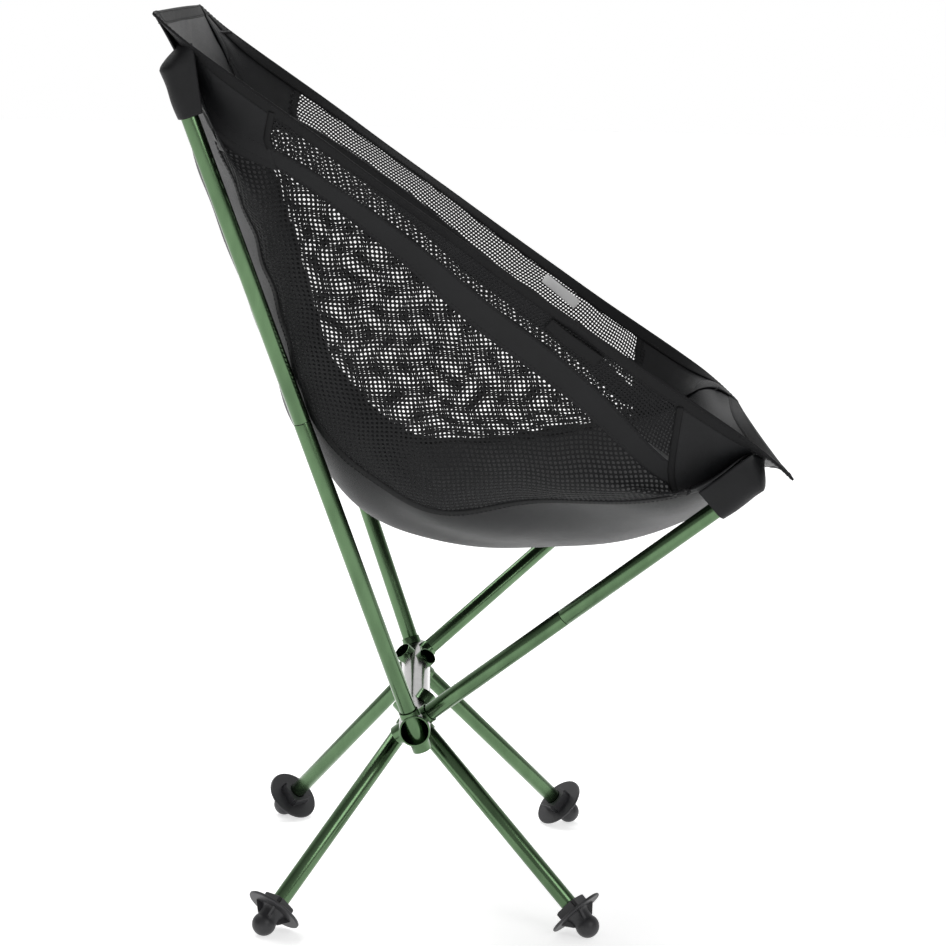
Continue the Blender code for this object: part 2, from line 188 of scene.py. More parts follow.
def woven(name, dark, light, thread, sheen, roughness=0.78, ripstop=0.0):
    """Plain weave at thread pitch, with an optional ripstop grid and soft fading."""
    made, tree, shader = coat(name, dark, roughness)
    where = mapped(tree, (1, 1, 1), "UV")
    warp = wave(tree, where, "X", 1 / thread / 2)
    weft = wave(tree, where, "Y", 1 / thread / 2)
    height = total(tree, warp, weft, "MULTIPLY")
    if ripstop:
        for direction in ("X", "Y"):
            line = wave(tree, where, direction, 1 / ripstop / 2)
            line = total(tree, total(tree, line, 40.0, "POWER"), 0.8, "MULTIPLY")
            height = total(tree, height, line)
    fade = noise(tree, mapped(tree, (1, 1, 1)), 34.0, 5.0, 0.6)
    tree.links.new(ramp(tree, fade, dark, light, 0.35, 0.75), shader.inputs["Base Color"])
    tree.links.new(spread(tree, fade, roughness - 0.1, roughness + 0.08), shader.inputs["Roughness"])
    bump(tree, shader, height, 0.25, 0.0003)
    shader.inputs["Specular IOR Level"].default_value = 0.24
    shader.inputs["Sheen Weight"].default_value = sheen
    shader.inputs["Sheen Roughness"].default_value = 0.4
    shader.inputs["Sheen Tint"].default_value = (0.95, 0.97, 1.0, 1)
    return made


GREEN = anodised("green_anodised_tube", (0.080, 0.145, 0.070), (0.115, 0.200, 0.100), 0.22)
GREY_METAL = anodised("grey_cross_tube", (0.20, 0.19, 0.19), (0.27, 0.26, 0.26), 0.16)
BARE_METAL = anodised("bare_aluminium", (0.62, 0.62, 0.63), (0.78, 0.78, 0.79), 0.3)
PLASTIC = moulded("dark_moulded_plastic", (0.018, 0.018, 0.020))
CLOTH = woven("black_ripstop_cloth", (0.0050, 0.0052, 0.0060), (0.0095, 0.0098, 0.0110), 0.45 * MM, 0.02,
              0.50, ripstop=5.0 * MM)
TAPE = woven("black_binding_tape", (0.0028, 0.0029, 0.0034), (0.0055, 0.0057, 0.0064), 0.7 * MM, 0.0, 0.66)
NET = woven("black_net_thread", (0.0060, 0.0062, 0.0070), (0.0105, 0.0108, 0.0115), 0.25 * MM, 0.03, 0.7)
THREAD = woven("black_sewing_thread", (0.004, 0.004, 0.0045), (0.008, 0.008, 0.009), 0.2 * MM, 0.05, 0.7)
LABEL = woven("blank_white_label", (0.62, 0.62, 0.62), (0.78, 0.78, 0.78), 0.3 * MM, 0.05)
SHOCK_CORD = woven("braided_shock_cord", (0.012, 0.012, 0.013), (0.03, 0.03, 0.032), 0.5 * MM, 0.2)


# ---------------------------------------------------------------- pieces

def add_piece(name, data, coating, body, slot, *nodes):
    """Links a finished mesh, makes it ride on its body and lets it stand for its CAD nodes."""
    made = bpy.data.objects.new(name, data)
    bpy.context.scene.collection.objects.link(made)
    if not data.materials:
        data.materials.append(coating)
    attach(made, body)
    if nodes:
        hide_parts(*nodes)
    return made


def mesh_from(name, points, faces, smooth=True):
    data = bpy.data.meshes.new(name)
    data.from_pydata([tuple(p) for p in points], [], [tuple(f) for f in faces])
    data.validate()
    if smooth:
        data.shade_smooth()
    return data


def turned_mesh(name, profile, steps, closed=False, crease=35):
    """A profile of (radius, height) points turned about Z; a closed profile makes a ring."""
    build = bmesh.new()
    points = [build.verts.new((r, 0, z)) for r, z in profile]
    edges = [build.edges.new(pair) for pair in zip(points, points[1:])]
    if closed:
        edges.append(build.edges.new((points[-1], points[0])))
    bmesh.ops.spin(build, geom=points + edges, cent=(0, 0, 0), axis=(0, 0, 1),
                   angle=2 * math.pi, steps=steps)
    bmesh.ops.remove_doubles(build, verts=build.verts, dist=0.00001)
    bmesh.ops.recalc_face_normals(build, faces=build.faces)
    data = bpy.data.meshes.new(name)
    build.to_mesh(data)
    build.free()
    data.shade_smooth()
    data.set_sharp_from_angle(angle=math.radians(crease))
    return data


def apply_modifiers(made):
    """Replaces an object's mesh with its evaluated one."""
    graph = bpy.context.evaluated_depsgraph_get()
    fresh = bpy.data.meshes.new_from_object(made.evaluated_get(graph))
    made.modifiers.clear()
    made.data = fresh
    return fresh


def boolean_meshes(base, others, operation):
    """Joins or drills a mesh with others, all in one space."""
    scene = bpy.context.scene.collection
    target = bpy.data.objects.new("boolean_base", base)
    scene.objects.link(target)
    helpers = []
    for other in others:
        helper = bpy.data.objects.new("boolean_tool", other)
        scene.objects.link(helper)
        helpers.append(helper)
        step = target.modifiers.new("boolean", "BOOLEAN")
        step.operation = operation
        step.solver = "EXACT"
        step.object = helper
    bpy.context.view_layer.update()
    fresh = apply_modifiers(target)
    for old in [target] + helpers:
        bpy.data.objects.remove(old)
    fresh.shade_smooth()
    fresh.set_sharp_from_angle(angle=math.radians(30))
    return fresh


# ---------------------------------------------------------------- tubes

def axis_frame(node, direction):
    """A CAD turned piece's place on its axis: matrix, start, end, outer radius."""
    direction = Vector(direction).normalized()
    points = np.array([v.co for v in frame["nodes"][node].data.vertices], float)
    way = np.array(direction)
    centre = points.mean(axis=0)
    run = (points - centre) @ way
    across = np.linalg.norm((points - centre) - np.outer(run, way), axis=1)
    low, high = run.min(), run.max()
    place = Matrix.Translation(Vector(centre + low * way))
    turn = direction.to_track_quat("Z", "X").to_matrix().to_4x4()
    return place @ turn, float(high - low), float(across.max())


def tube_profile(length, outer, wall, chamfer):
    inner = outer - wall
    soft = chamfer * 0.5
    return [(outer - chamfer, length), (outer - chamfer * 0.3, length - chamfer * 0.3),
            (outer, length - chamfer), (outer, chamfer), (outer - chamfer * 0.3, chamfer * 0.3),
            (outer - chamfer, 0), (inner + soft, 0), (inner, soft), (inner, length - soft),
            (inner + soft, length)]


def place_piece(made, matrix, body):
    """Moves a finished piece, in its mesh, and lets it ride on its body again."""
    made.parent = None
    made.matrix_world = Matrix.Identity(4)
    made.data.transform(matrix)
    bpy.context.view_layer.update()
    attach(made, body)


def fine_tube(node, direction, wall, coating, body, slot, chamfer=0.35 * MM):
    """A smooth tube over a faceted CAD tube."""
    matrix, length, outer = axis_frame(node, direction)
    data = turned_mesh(node + "_fine", tube_profile(length, outer, wall, chamfer), 56, closed=True)
    made = add_piece(node + "_fine", data, coating, body, slot, node)
    place_piece(made, matrix, body)
    return made


def build_tubes():
    for side_name, _ in SIDES:
        for kind in ("back", "front"):
            name = f"{kind}_{side_name}"
            way = JOINTS[f"pull_lower_{name}"]["axis"]
            fine_tube(f"socket_{name}", way, SOCKET_WALL, GREEN, "hub", "green_tube")
            fine_tube(f"lower_pole_{name}", way, TUBE_WALL, GREEN, f"lower_{name}", "green_tube")
            fine_tube(f"upper_pole_{name}", way, TUBE_WALL, GREEN, f"upper_{name}", "green_tube")
            fine_tube(f"ferrule_{name}", way, FERRULE_WALL, BARE_METAL, f"upper_{name}", "ferrule_metal")
        for kind in ("fore", "rear"):
            name = f"{kind}_{side_name}"
            way = JOINTS[f"pull_{kind}_leg_{side_name}"]["axis"]
            fine_tube(f"socket_{name}", way, SOCKET_WALL, GREEN, "hub", "green_tube")
            fine_tube(f"leg_{name}", way, TUBE_WALL, GREEN, f"{kind}_leg_{side_name}", "green_tube")
            build_foot(name, way, f"{kind}_leg_{side_name}")


def build_cross_tube():
    """The drilled cross tube, green inside and at its rims."""
    matrix, length, outer = axis_frame("cross_tube", (1, 0, 0))
    profile = tube_profile(length, outer, CROSS_WALL, 0.4 * MM)
    data = turned_mesh("cross_tube_fine", profile, 96, closed=True)
    drills = []
    for side_name, _ in SIDES:
        for kind, joint in (("back", "pull_lower_back_"), ("front", "pull_lower_front_"),
                            ("fore", "pull_fore_leg_"), ("rear", "pull_rear_leg_")):
            place, reach, radius = axis_frame(f"socket_{kind}_{side_name}", JOINTS[joint + side_name]["axis"])
            drill = turned_mesh("drill", [(0, reach), (radius + 0.1 * MM, reach), (radius + 0.1 * MM, 0),
                                          (0, 0)], 48)
            drill.transform(matrix.inverted() @ place)
            drills.append(drill)
    fresh = boolean_meshes(data, drills, "DIFFERENCE")
    fresh.materials.clear()
    fresh.materials.append(GREY_METAL)
    fresh.materials.append(GREEN)
    for face in fresh.polygons:
        x, y, z = face.center
        near_rim = min(z, length - z) < 0.9 * MM
        face.material_index = 1 if near_rim or math.hypot(x, y) < outer - 0.5 * MM else 0
    made = add_piece("cross_tube_fine", fresh, GREY_METAL, "hub", "cross_tube_metal", "cross_tube")
    place_piece(made, matrix, "hub")


def build_foot(name, direction, body):
    """Ball, neck, gusseted sand flange and square collar, moulded as one."""
    matrix, length, flange = axis_frame(f"foot_{name}", direction)
    ball = 8.4 * MM
    centre = length - ball  # height of the ball's centre, counted from the collar's rim
    top = centre - 11.5 * MM  # the flange's ball side
    under = top - 2.0 * MM
    bore = 6.35 * MM
    arc = [(ball * math.cos(a), centre + ball * math.sin(a)) for a in np.linspace(math.pi / 2, -0.45, 18)]
    arc[0] = (0.0, length)
    neck = [(7.7 * MM, top + 3.0 * MM), (8.6 * MM, top + 1.0 * MM), (9.6 * MM, top)]
    rim = [(flange - 0.6 * MM, top), (flange, top - 0.5 * MM), (flange, under + 0.5 * MM),
           (flange - 0.6 * MM, under)]
    body_profile = arc + neck + rim + [(bore, under), (bore, length - 14.2 * MM), (0.0, length - 14.2 * MM)]
    data = turned_mesh("foot", body_profile, 64)
    parts = [square_collar(bore, under)] + [gusset(i, top, centre) for i in range(4)]
    fresh = boolean_meshes(data, parts, "UNION")
    fresh.materials.clear()
    made = add_piece(f"foot_{name}_fine", fresh, PLASTIC, body, "dark_plastic", f"foot_{name}")
    place_piece(made, matrix, body)


def square_collar(bore, height):
    """A short square sleeve with rounded corners round the tube."""
    build = bmesh.new()
    bmesh.ops.create_cube(build, size=1)
    bmesh.ops.scale(build, verts=build.verts, vec=(18.6 * MM, 18.6 * MM, height + 0.4 * MM))
    bmesh.ops.translate(build, verts=build.verts, vec=(0, 0, (height + 0.4 * MM) / 2))
    upright = [e for e in build.edges if abs(e.verts[0].co.z - e.verts[1].co.z) > MM]
    bmesh.ops.bevel(build, geom=upright, offset=2.2 * MM, segments=5, affect="EDGES")
    rim = [e for e in build.edges if max(v.co.z for v in e.verts) < 0.01 * MM]
    bmesh.ops.bevel(build, geom=rim, offset=0.5 * MM, segments=3, affect="EDGES")
    data = bpy.data.meshes.new("collar")
    build.to_mesh(data)
    build.free()
    hole = turned_mesh("collar_bore", [(0, height + MM), (bore, height + MM), (bore, -MM), (0, -MM)], 48)
    return boolean_meshes(data, [hole], "DIFFERENCE")


def gusset(index, top, centre):
    """A triangular rib between the flange and the ball."""
    points = []
    for y in (-0.8 * MM, 0.8 * MM):
        points += [(4 * MM, y, top - 0.5 * MM), (14.0 * MM, y, top - 0.5 * MM),
                   (14.0 * MM, y, top + 0.6 * MM), (8.2 * MM, y, centre - 4.5 * MM),
                   (4 * MM, y, centre - 4.5 * MM)]
    faces = [(0, 1, 2, 3, 4), (9, 8, 7, 6, 5)]
    faces += [(i, i + 5, (i + 1) % 5 + 5, (i + 1) % 5) for i in range(5)]
    data = mesh_from("gusset", points, faces, smooth=False)
    data.transform(Matrix.Rotation(math.pi / 4 + index * math.pi / 2, 4, "Z"))
    fix_normals(data)
    return data


def finish_cad_nodes():
    """The CAD pieces that stay: hidden caps and cords get real finishes."""
    for name, node in frame["nodes"].items():
        if "cord" in name:
            coating = SHOCK_CORD
        elif name.startswith("end_cap"):
            coating = PLASTIC
        else:
            continue
        node.data.materials.clear()
        node.data.materials.append(coating)
        node.data.shade_smooth()


# ---------------------------------------------------------------- sling surface

def pole_end(name):
    """Where a pole's axis ends, from the CAD section that carries its end."""
    matrix, length, _ = axis_frame(f"upper_pole_{name}", JOINTS[f"pull_lower_{name}"]["axis"])
    return matrix @ Vector((0, 0, length))


BACK_TIP = pole_end("back_left")
FRONT_TIP = pole_end("front_left")

# The sling's rails run from the top edge to the front edge. A station is (share of the way from
# the back tip to the front tip, inset from the line of the tips, drop square to that line).
EDGE_RAIL = (
    (-0.068, -0.005, -0.024), (-0.012, -0.007, -0.022), (0.079, -0.010, -0.022),
    (0.195, -0.014, -0.022), (0.316, -0.017, -0.021), (0.436, -0.017, -0.021),
    (0.555, -0.016, -0.021), (0.673, -0.014, -0.021), (0.783, -0.013, -0.022),
    (0.878, -0.013, -0.023), (0.969, -0.013, -0.023), (1.039, -0.012, -0.019),
)
SEAM_RAIL = (
    (-0.070, 0.020, -0.025), (0.017, 0.016, -0.005), (0.094, 0.007, 0.017),
    (0.186, 0.009, 0.018), (0.292, 0.011, 0.019), (0.405, 0.012, 0.025),
    (0.522, 0.011, 0.033), (0.630, 0.011, 0.035), (0.778, 0.007, 0.036),
    (0.925, 0.002, 0.033), (0.976, 0.010, -0.011), (1.041, 0.012, -0.019),
)
PANEL_RAIL = (
    (-0.070, 0.023, -0.025), (0.013, 0.018, -0.004), (0.102, 0.011, 0.021),
    (0.207, 0.024, 0.054), (0.298, 0.030, 0.087), (0.388, 0.036, 0.122),
    (0.477, 0.042, 0.145), (0.636, 0.044, 0.149), (0.774, 0.038, 0.100),
    (0.928, 0.004, 0.035), (0.978, 0.013, -0.010), (1.041, 0.015, -0.019),
)
CENTRE_RAIL = (
    (-0.067, 0.0, -0.027), (-0.022, 0.0, 0.003), (0.061, 0.0, 0.047),
    (0.143, 0.0, 0.076), (0.245, 0.0, 0.108), (0.348, 0.0, 0.138),
    (0.479, 0.0, 0.175), (0.671, 0.0, 0.184), (0.859, 0.0, 0.141),
    (0.989, 0.0, 0.080), (1.037, 0.0, 0.026), (1.042, 0.0, -0.018),
)
LAST = len(EDGE_RAIL) - 1
STATIONS = np.linspace(0, LAST, 16 * LAST + 1)
RAILS = np.linspace(-3, 3, 193)


def rail_points(rail, side):
    line = FRONT_TIP - BACK_TIP
    along = Vector((0, line.y, line.z)).normalized()
    square = Vector((0, -along.z, along.y))
    points = []
    for share, inset, drop in rail:
        point = BACK_TIP + share * line + drop * square
        points.append((side * (point.x - inset), point.y, point.z))
    return np.array(points)


def natural_spline(knots, points, where):
    """The natural cubic spline through points at knots, read at the places in where."""
    step = np.diff(knots)[:, None]
    slope = np.diff(points, axis=0) / step
    count = len(knots)
    system = np.eye(count)
    right = np.zeros_like(points)
    for i in range(1, count - 1):
        system[i, i - 1:i + 2] = step[i - 1, 0], 2 * (step[i - 1, 0] + step[i, 0]), step[i, 0]
        right[i] = 6 * (slope[i] - slope[i - 1])
    bend = np.linalg.solve(system, right)
    i = np.clip(np.searchsorted(knots, where, side="right") - 1, 0, count - 2)
    before = (where - knots[i])[:, None]
    after = (knots[i + 1] - where)[:, None]
    gap = step[i]
    return ((bend[i] * after ** 3 + bend[i + 1] * before ** 3) / (6 * gap)
            + (points[i] / gap - bend[i] * gap / 6) * after
            + (points[i + 1] / gap - bend[i + 1] * gap / 6) * before)


def base_surface():
    """The taut sling as a fine grid of points over stations and rails."""
    knots = np.arange(LAST + 1, dtype=float)
    order = ((EDGE_RAIL, -1), (SEAM_RAIL, -1), (PANEL_RAIL, -1), (CENTRE_RAIL, 0),
             (PANEL_RAIL, 1), (SEAM_RAIL, 1), (EDGE_RAIL, 1))
    lines = np.stack([natural_spline(knots, rail_points(r, s), STATIONS) for r, s in order], axis=1)
    return np.stack([natural_spline(np.arange(-3.0, 4.0), row, RAILS) for row in lines])


SURFACE = base_surface()


def read_grid(grid, station, rail):
    """Bilinear reading of a grid over stations and rails."""
    a = np.clip(np.asarray(station, float) / LAST, 0, 1) * (len(STATIONS) - 1)
    b = np.clip((np.asarray(rail, float) + 3) / 6, 0, 1) * (len(RAILS) - 1)
    i = np.clip(a.astype(int), 0, len(STATIONS) - 2)
    j = np.clip(b.astype(int), 0, len(RAILS) - 2)
    u = (a - i)[..., None]
    v = (b - j)[..., None]
    return ((grid[i, j] * (1 - v) + grid[i, j + 1] * v) * (1 - u)
            + (grid[i + 1, j] * (1 - v) + grid[i + 1, j + 1] * v) * u)


def unit(vectors):
    return vectors / np.maximum(np.linalg.norm(vectors, axis=-1, keepdims=True), 1e-9)


def surface_normals():
    """Unit normals of the taut sling, pointing down and out, away from the sitter."""
    along = np.gradient(SURFACE, axis=0)
    across = np.gradient(SURFACE, axis=1)
    return unit(np.cross(along, across))


NORMALS = surface_normals()
if NORMALS[len(STATIONS) * 2 // 3, len(RAILS) // 2, 2] > 0:
    NORMALS = -NORMALS


def bell(value, centre, width):
    return np.exp(-((value - centre) / width) ** 2)


def wrinkle(station, rail):
    """How far the loose cloth stands off the taut sling, in metres, outwards positive."""
    s = np.asarray(station, float)
    r = np.abs(np.asarray(rail, float))
    left = np.sign(rail)
    lift = 0.9 * MM * np.sin(9.0 * s + 2.0 * r + 0.7 * left) * bell(r, 1.0, 0.35) * bell(s, 3.4, 2.2)
    lift += 1.6 * MM * np.sin(5.1 * s - 3.0 * r + left) * bell(r, 1.5, 0.45) * bell(s, 5.6, 2.6)
    lift += 1.2 * MM * np.sin(2.3 * s + 7.0 * r) * bell(r, 1.5, 0.5) * bell(s, 5.0, 2.8)
    lift += 1.5 * MM * np.sin(11.0 * r + 1.3 * s) * bell(s, 1.0, 1.0) * bell(r, 1.9, 0.8)
    lift += 3.4 * MM * np.sin(4.6 * s + 7.0 * r + 1.5 * left) * bell(r, 0.75, 0.35) * bell(s, 7.4, 1.6)
    lift += 1.8 * MM * np.sin(7.5 * r - 1.8 * s) * bell(s, 9.2, 0.9) * bell(r, 1.2, 0.7)
    lift += 1.0 * MM * np.sin(6.0 * s) * bell(r, 0.0, 0.7) * bell(s, 6.0, 3.0)
    edge = np.clip((3 - r) / 0.25, 0, 1)
    return lift * edge


LIFT = wrinkle(STATIONS[:, None], RAILS[None, :])[..., None]
CLOTHED = SURFACE + LIFT * NORMALS


def sling(station, rail, off=0.0):
    """Points of the wrinkled sling, off metres outwards from its middle surface."""
    return read_grid(CLOTHED, station, rail) + off * unit(read_grid(NORMALS, station, rail))


def run_lengths(points):
    return np.concatenate([[0], np.cumsum(np.linalg.norm(np.diff(points, axis=0), axis=1))])


def across_lengths(grid):
    """Run lengths across a grid of points, row by row."""
    steps = np.linalg.norm(np.diff(grid, axis=1), axis=2)
    return np.cumsum(np.c_[np.zeros(len(grid)), steps], axis=1)


def rail_inside(station, side, margin):
    rails = np.linspace(3 * side, 2 * side, 17)
    run = run_lengths(sling(np.full(17, station), rails))
    return float(np.interp(margin, run, rails))


def station_inside(rail, last, margin):
    edge, way = (LAST, -1) if last else (0, 1)
    stations = edge + way * np.linspace(0, 1.5, 17)
    run = run_lengths(sling(stations, np.full(17, rail)))
    return float(np.interp(margin, run, stations))


# ---------------------------------------------------------------- sling pieces

def give_uv(data, flat):
    """Flat cloth coordinates in metres, one pair for each vertex."""
    layer = data.uv_layers.new(name="cloth")
    loops = np.zeros(len(data.loops), int)
    data.loops.foreach_get("vertex_index", loops)
    layer.data.foreach_set("uv", np.asarray(flat, float)[loops].ravel())


def grid_faces(rows, columns):
    return [(r * columns + c, r * columns + c + 1, (r + 1) * columns + c + 1, (r + 1) * columns + c)
            for r in range(rows - 1) for c in range(columns - 1)]


def sheet_mesh(name, stations, rails, coating, thickness=FABRIC, off=0.0):
    """A piece of cloth over matching grids of stations and rails."""
    rows, columns = stations.shape
    points = sling(stations, rails, off)
    run_a = np.cumsum(np.r_[np.zeros((1, columns)), np.linalg.norm(np.diff(points, axis=0), axis=2)], axis=0)
    run_b = across_lengths(points)
    data = mesh_from(name, points.reshape(-1, 3), grid_faces(rows, columns))
    give_uv(data, np.stack([run_b.ravel(), run_a.ravel()], axis=1))
    data.materials.append(coating)
    return thicken(data, thickness)


def thicken(data, thickness):
    """Gives an open sheet its thickness."""
    holder = bpy.data.objects.new("holder", data)
    bpy.context.scene.collection.objects.link(holder)
    shell = holder.modifiers.new("thickness", "SOLIDIFY")
    shell.thickness = thickness
    shell.offset = 0
    bpy.context.view_layer.update()
    fresh = apply_modifiers(holder)
    bpy.data.objects.remove(holder)
    return fresh


def between(starts, ends, rails, rows):
    """Grids of stations and rails: each column runs from its start to its end."""
    share = np.linspace(0, 1, rows)[:, None]
    stations = np.asarray(starts)[None, :] + share * (np.asarray(ends) - np.asarray(starts))[None, :]
    return stations, np.repeat(np.asarray(rails, float)[None, :], rows, axis=0)


def ribbon(name, stations, rails, width, thickness, coating, off=0.0):
    """A flat tape with rounded edges along a path on the sling."""
    path = sling(stations, rails, off)
    tangent = unit(np.gradient(path, axis=0))
    normal = unit(read_grid(NORMALS, stations, rails))
    across = unit(np.cross(normal, tangent))
    w = width / 2
    t = thickness / 2
    shape = [(-w, 0), (-w + 0.5 * t, t * 0.8), (-w + 1.5 * t, t), (0, t * 1.05), (w - 1.5 * t, t),
             (w - 0.5 * t, t * 0.8), (w, 0), (w - 0.5 * t, -t * 0.8), (w - 1.5 * t, -t), (0, -t * 1.05),
             (-w + 1.5 * t, -t), (-w + 0.5 * t, -t * 0.8)]
    count = len(shape)
    points = np.concatenate([path[:, None] + a * across[:, None] + b * normal[:, None] for a, b in shape],
                            axis=1)
    faces = [(r * count + c, r * count + (c + 1) % count, (r + 1) * count + (c + 1) % count,
              (r + 1) * count + c) for r in range(len(path) - 1) for c in range(count)]
    faces += [tuple(range(count)), tuple(range(len(path) * count - 1, (len(path) - 1) * count - 1, -1))]
    data = mesh_from(name, points.reshape(-1, 3), faces)
    run = run_lengths(path)
    flat = [(run[r], shape[c][0]) for r in range(len(path)) for c in range(count)]
    give_uv(data, flat)
    fix_normals(data)
    data.materials.append(coating)
    return data


def fix_normals(data):
    build = bmesh.new()
    build.from_mesh(data)
    bmesh.ops.recalc_face_normals(build, faces=build.faces)
    build.to_mesh(data)
    build.free()


def stitch_row(stations, rails, off, half=1.05 * MM, thick=0.24 * MM):
    """Points and faces of short raised stitches along a path on the sling."""
    path = sling(stations, rails, off)
    run = run_lengths(path)
    count = max(int(run[-1] / STITCH_PITCH), 1)
    centres = (np.arange(count) + 0.5) * run[-1] / count
    spots = [np.interp(centres, run, path[:, k]) for k in range(3)]
    normal = unit(read_grid(NORMALS, stations, rails))
    tangent = unit(np.gradient(path, axis=0))
    n = unit(np.stack([np.interp(centres, run, normal[:, k]) for k in range(3)], axis=1))
    a = unit(np.stack([np.interp(centres, run, tangent[:, k]) for k in range(3)], axis=1))
    b = np.cross(n, a)
    p = np.stack(spots, axis=1)
    points = []
    faces = []
    for i in range(count):
        base = len(points)
        points += [p[i] - half * a[i], p[i] + half * a[i]]
        for along in (-0.6, 0.6):
            for side, up in ((1, 0), (0, 1), (-1, 0), (0, -1)):
                points.append(p[i] + along * half * a[i] + thick * (side * b[i] + up * n[i]))
        for k in range(4):
            m = (k + 1) % 4
            faces += [(base, base + 2 + m, base + 2 + k),
                      (base + 2 + k, base + 2 + m, base + 6 + m, base + 6 + k),
                      (base + 1, base + 6 + k, base + 6 + m)]
    return points, faces


def stitching(name, rows):
    """One mesh of stitches from several rows of (stations, rails, off)."""
    points = []
    faces = []
    for stations, rails, off in rows:
        more, around = stitch_row(stations, rails, off)
        faces += [tuple(v + len(points) for v in face) for face in around]
        points += more
    data = mesh_from(name, points, faces)
    data.materials.append(THREAD)
    give_uv(data, [(0.001 * (i % 50), 0.0) for i in range(len(points))])
    return data


def back_patch_end(rail):
    """The station where the back corner patch gives way to net."""
    return np.interp(np.abs(rail), (1.0, 1.9, 2.1, 2.5, 3.0), (2.1, 2.25, 3.12, 2.75, 2.52))


def front_patch_start(rail):
    """The station where the front corner patch takes over from the net."""
    return np.interp(np.abs(rail), (1.0, 1.84, 2.34, 2.79, 3.0), (9.12, 9.0, 8.78, 8.65, 8.58))


def declare_sheet(made):
    """Works out a sewn panel's flat size from its cloth coordinates, and its area from
    its own faces, limited to between LEAST_CUT and all of its rectangle; neither is kept."""
    layer = made.data.uv_layers[0].data
    flat = np.empty(2 * len(layer))
    layer.foreach_get("uv", flat)
    width, length = (float(x) for x in np.ptp(flat.reshape(-1, 2), axis=0))
    cut = sum(face.area for face in made.data.polygons) / 2
    cut = min(max(cut, LEAST_CUT * width * length), width * length)


def build_centre_panel():
    rails = np.linspace(-1.02, 1.02, 115)
    stations, across = between(np.full(115, 0.02), np.full(115, LAST - 0.02), rails, 210)
    data = sheet_mesh("centre_panel_cloth", stations, across, CLOTH)
    declare_sheet(add_piece("centre_panel_cloth", data, CLOTH, "seat", "seat_fabric", "centre_panel"))


class Net:
    """Open net over part of the sling: a lattice of octagonal holes in flat cloth coordinates."""

    def __init__(self):
        self.flat = []
        self.faces = []
        self.seen = {}

    def vertex(self, a, b):
        key = (round(a / (0.02 * MM)), round(b / (0.02 * MM)))
        if key not in self.seen:
            self.seen[key] = len(self.flat)
            self.flat.append((a, b))
        return self.seen[key]

    def cell(self, a, b, pitch, hole):
        h = pitch / 2
        outer = [(-h, -h), (0, -h), (h, -h), (h, 0), (h, h), (0, h), (-h, h), (-h, 0)]
        c = hole * NET_CORNER
        inner = [(-c, -c), (0, -hole), (c, -c), (hole, 0), (c, c), (0, hole), (-c, c), (-hole, 0)]
        ids_out = [self.vertex(a + x, b + y) for x, y in outer]
        ids_in = [self.vertex(a + x, b + y) for x, y in inner]
        for i in range(8):
            j = (i + 1) % 8
            self.faces.append((ids_out[i], ids_out[j], ids_in[j], ids_in[i]))


def net_mesh(name, cells, place, coating, pitch, hole, lean):
    """The net's mesh: cells are centres in flat coordinates, place maps flat points to the sling."""
    net = Net()
    for a, b in cells:
        net.cell(a, b, pitch, hole)
    flat = np.array(net.flat)
    a, b = flat.T
    drift = np.stack([np.sin(71 * b + 43 * a + lean) + np.sin(163 * b + lean),
                      np.sin(83 * a - 37 * b - lean) + np.sin(149 * a + lean)], axis=1)
    data = mesh_from(name, place(flat + 0.55 * MM * drift), net.faces)
    give_uv(data, flat)
    data.materials.append(coating)
    return thicken(data, NET_THREAD)


def band_places(side, start, end):
    """Flat coordinates of a side band: run along the seam rail, and run across it to the edge."""
    rows = 260
    columns = 30
    stations = np.linspace(start, end, rows)
    rails = np.linspace(2 * side, 3 * side, columns)
    grid = sling(*np.meshgrid(stations, rails, indexing="ij"))
    middle = grid[:, columns // 2]
    along = run_lengths(middle)
    across = across_lengths(grid)

    def place(flat):
        row = np.interp(flat[:, 0], along, np.arange(rows))
        i = np.clip(row.astype(int), 0, rows - 2)
        share = row - i
        rail = np.array([np.interp(b, (1 - s) * across[k] + s * across[k + 1], rails * side)
                         for b, k, s in zip(flat[:, 1], i, share)]) * side
        return sling(np.interp(flat[:, 0], along, stations), rail)

    return place, along, across


def build_band_net(side_name, side):
    """The fine side band: the lattice runs with the hem."""
    start, end = BAND_STATIONS
    place, along, across = band_places(side, start, end)
    stations = np.linspace(start, end, len(along))
    cells = []
    for a in np.arange(BAND_PITCH, along[-1] - BAND_PITCH, BAND_PITCH):
        row = min(np.searchsorted(along, a), len(along) - 1)
        width = across[row, -1]
        for b in np.arange(0.35 * width, width - 0.5 * HEM_WIDTH, BAND_PITCH):
            rail = 2 + b / width
            if back_patch_end(rail) - 0.1 <= stations[row] <= front_patch_start(rail) + 0.1:
                cells.append((a, b))
    data = net_mesh(f"side_band_net_{side_name}", cells, place, NET, BAND_PITCH, BAND_HOLE, side)
    declare_sheet(add_piece(f"side_band_net_{side_name}", data, NET, "seat", "seat_mesh",
                            f"side_mesh_band_{side_name}"))


NET_LEAN = math.tan(math.radians(9.0))


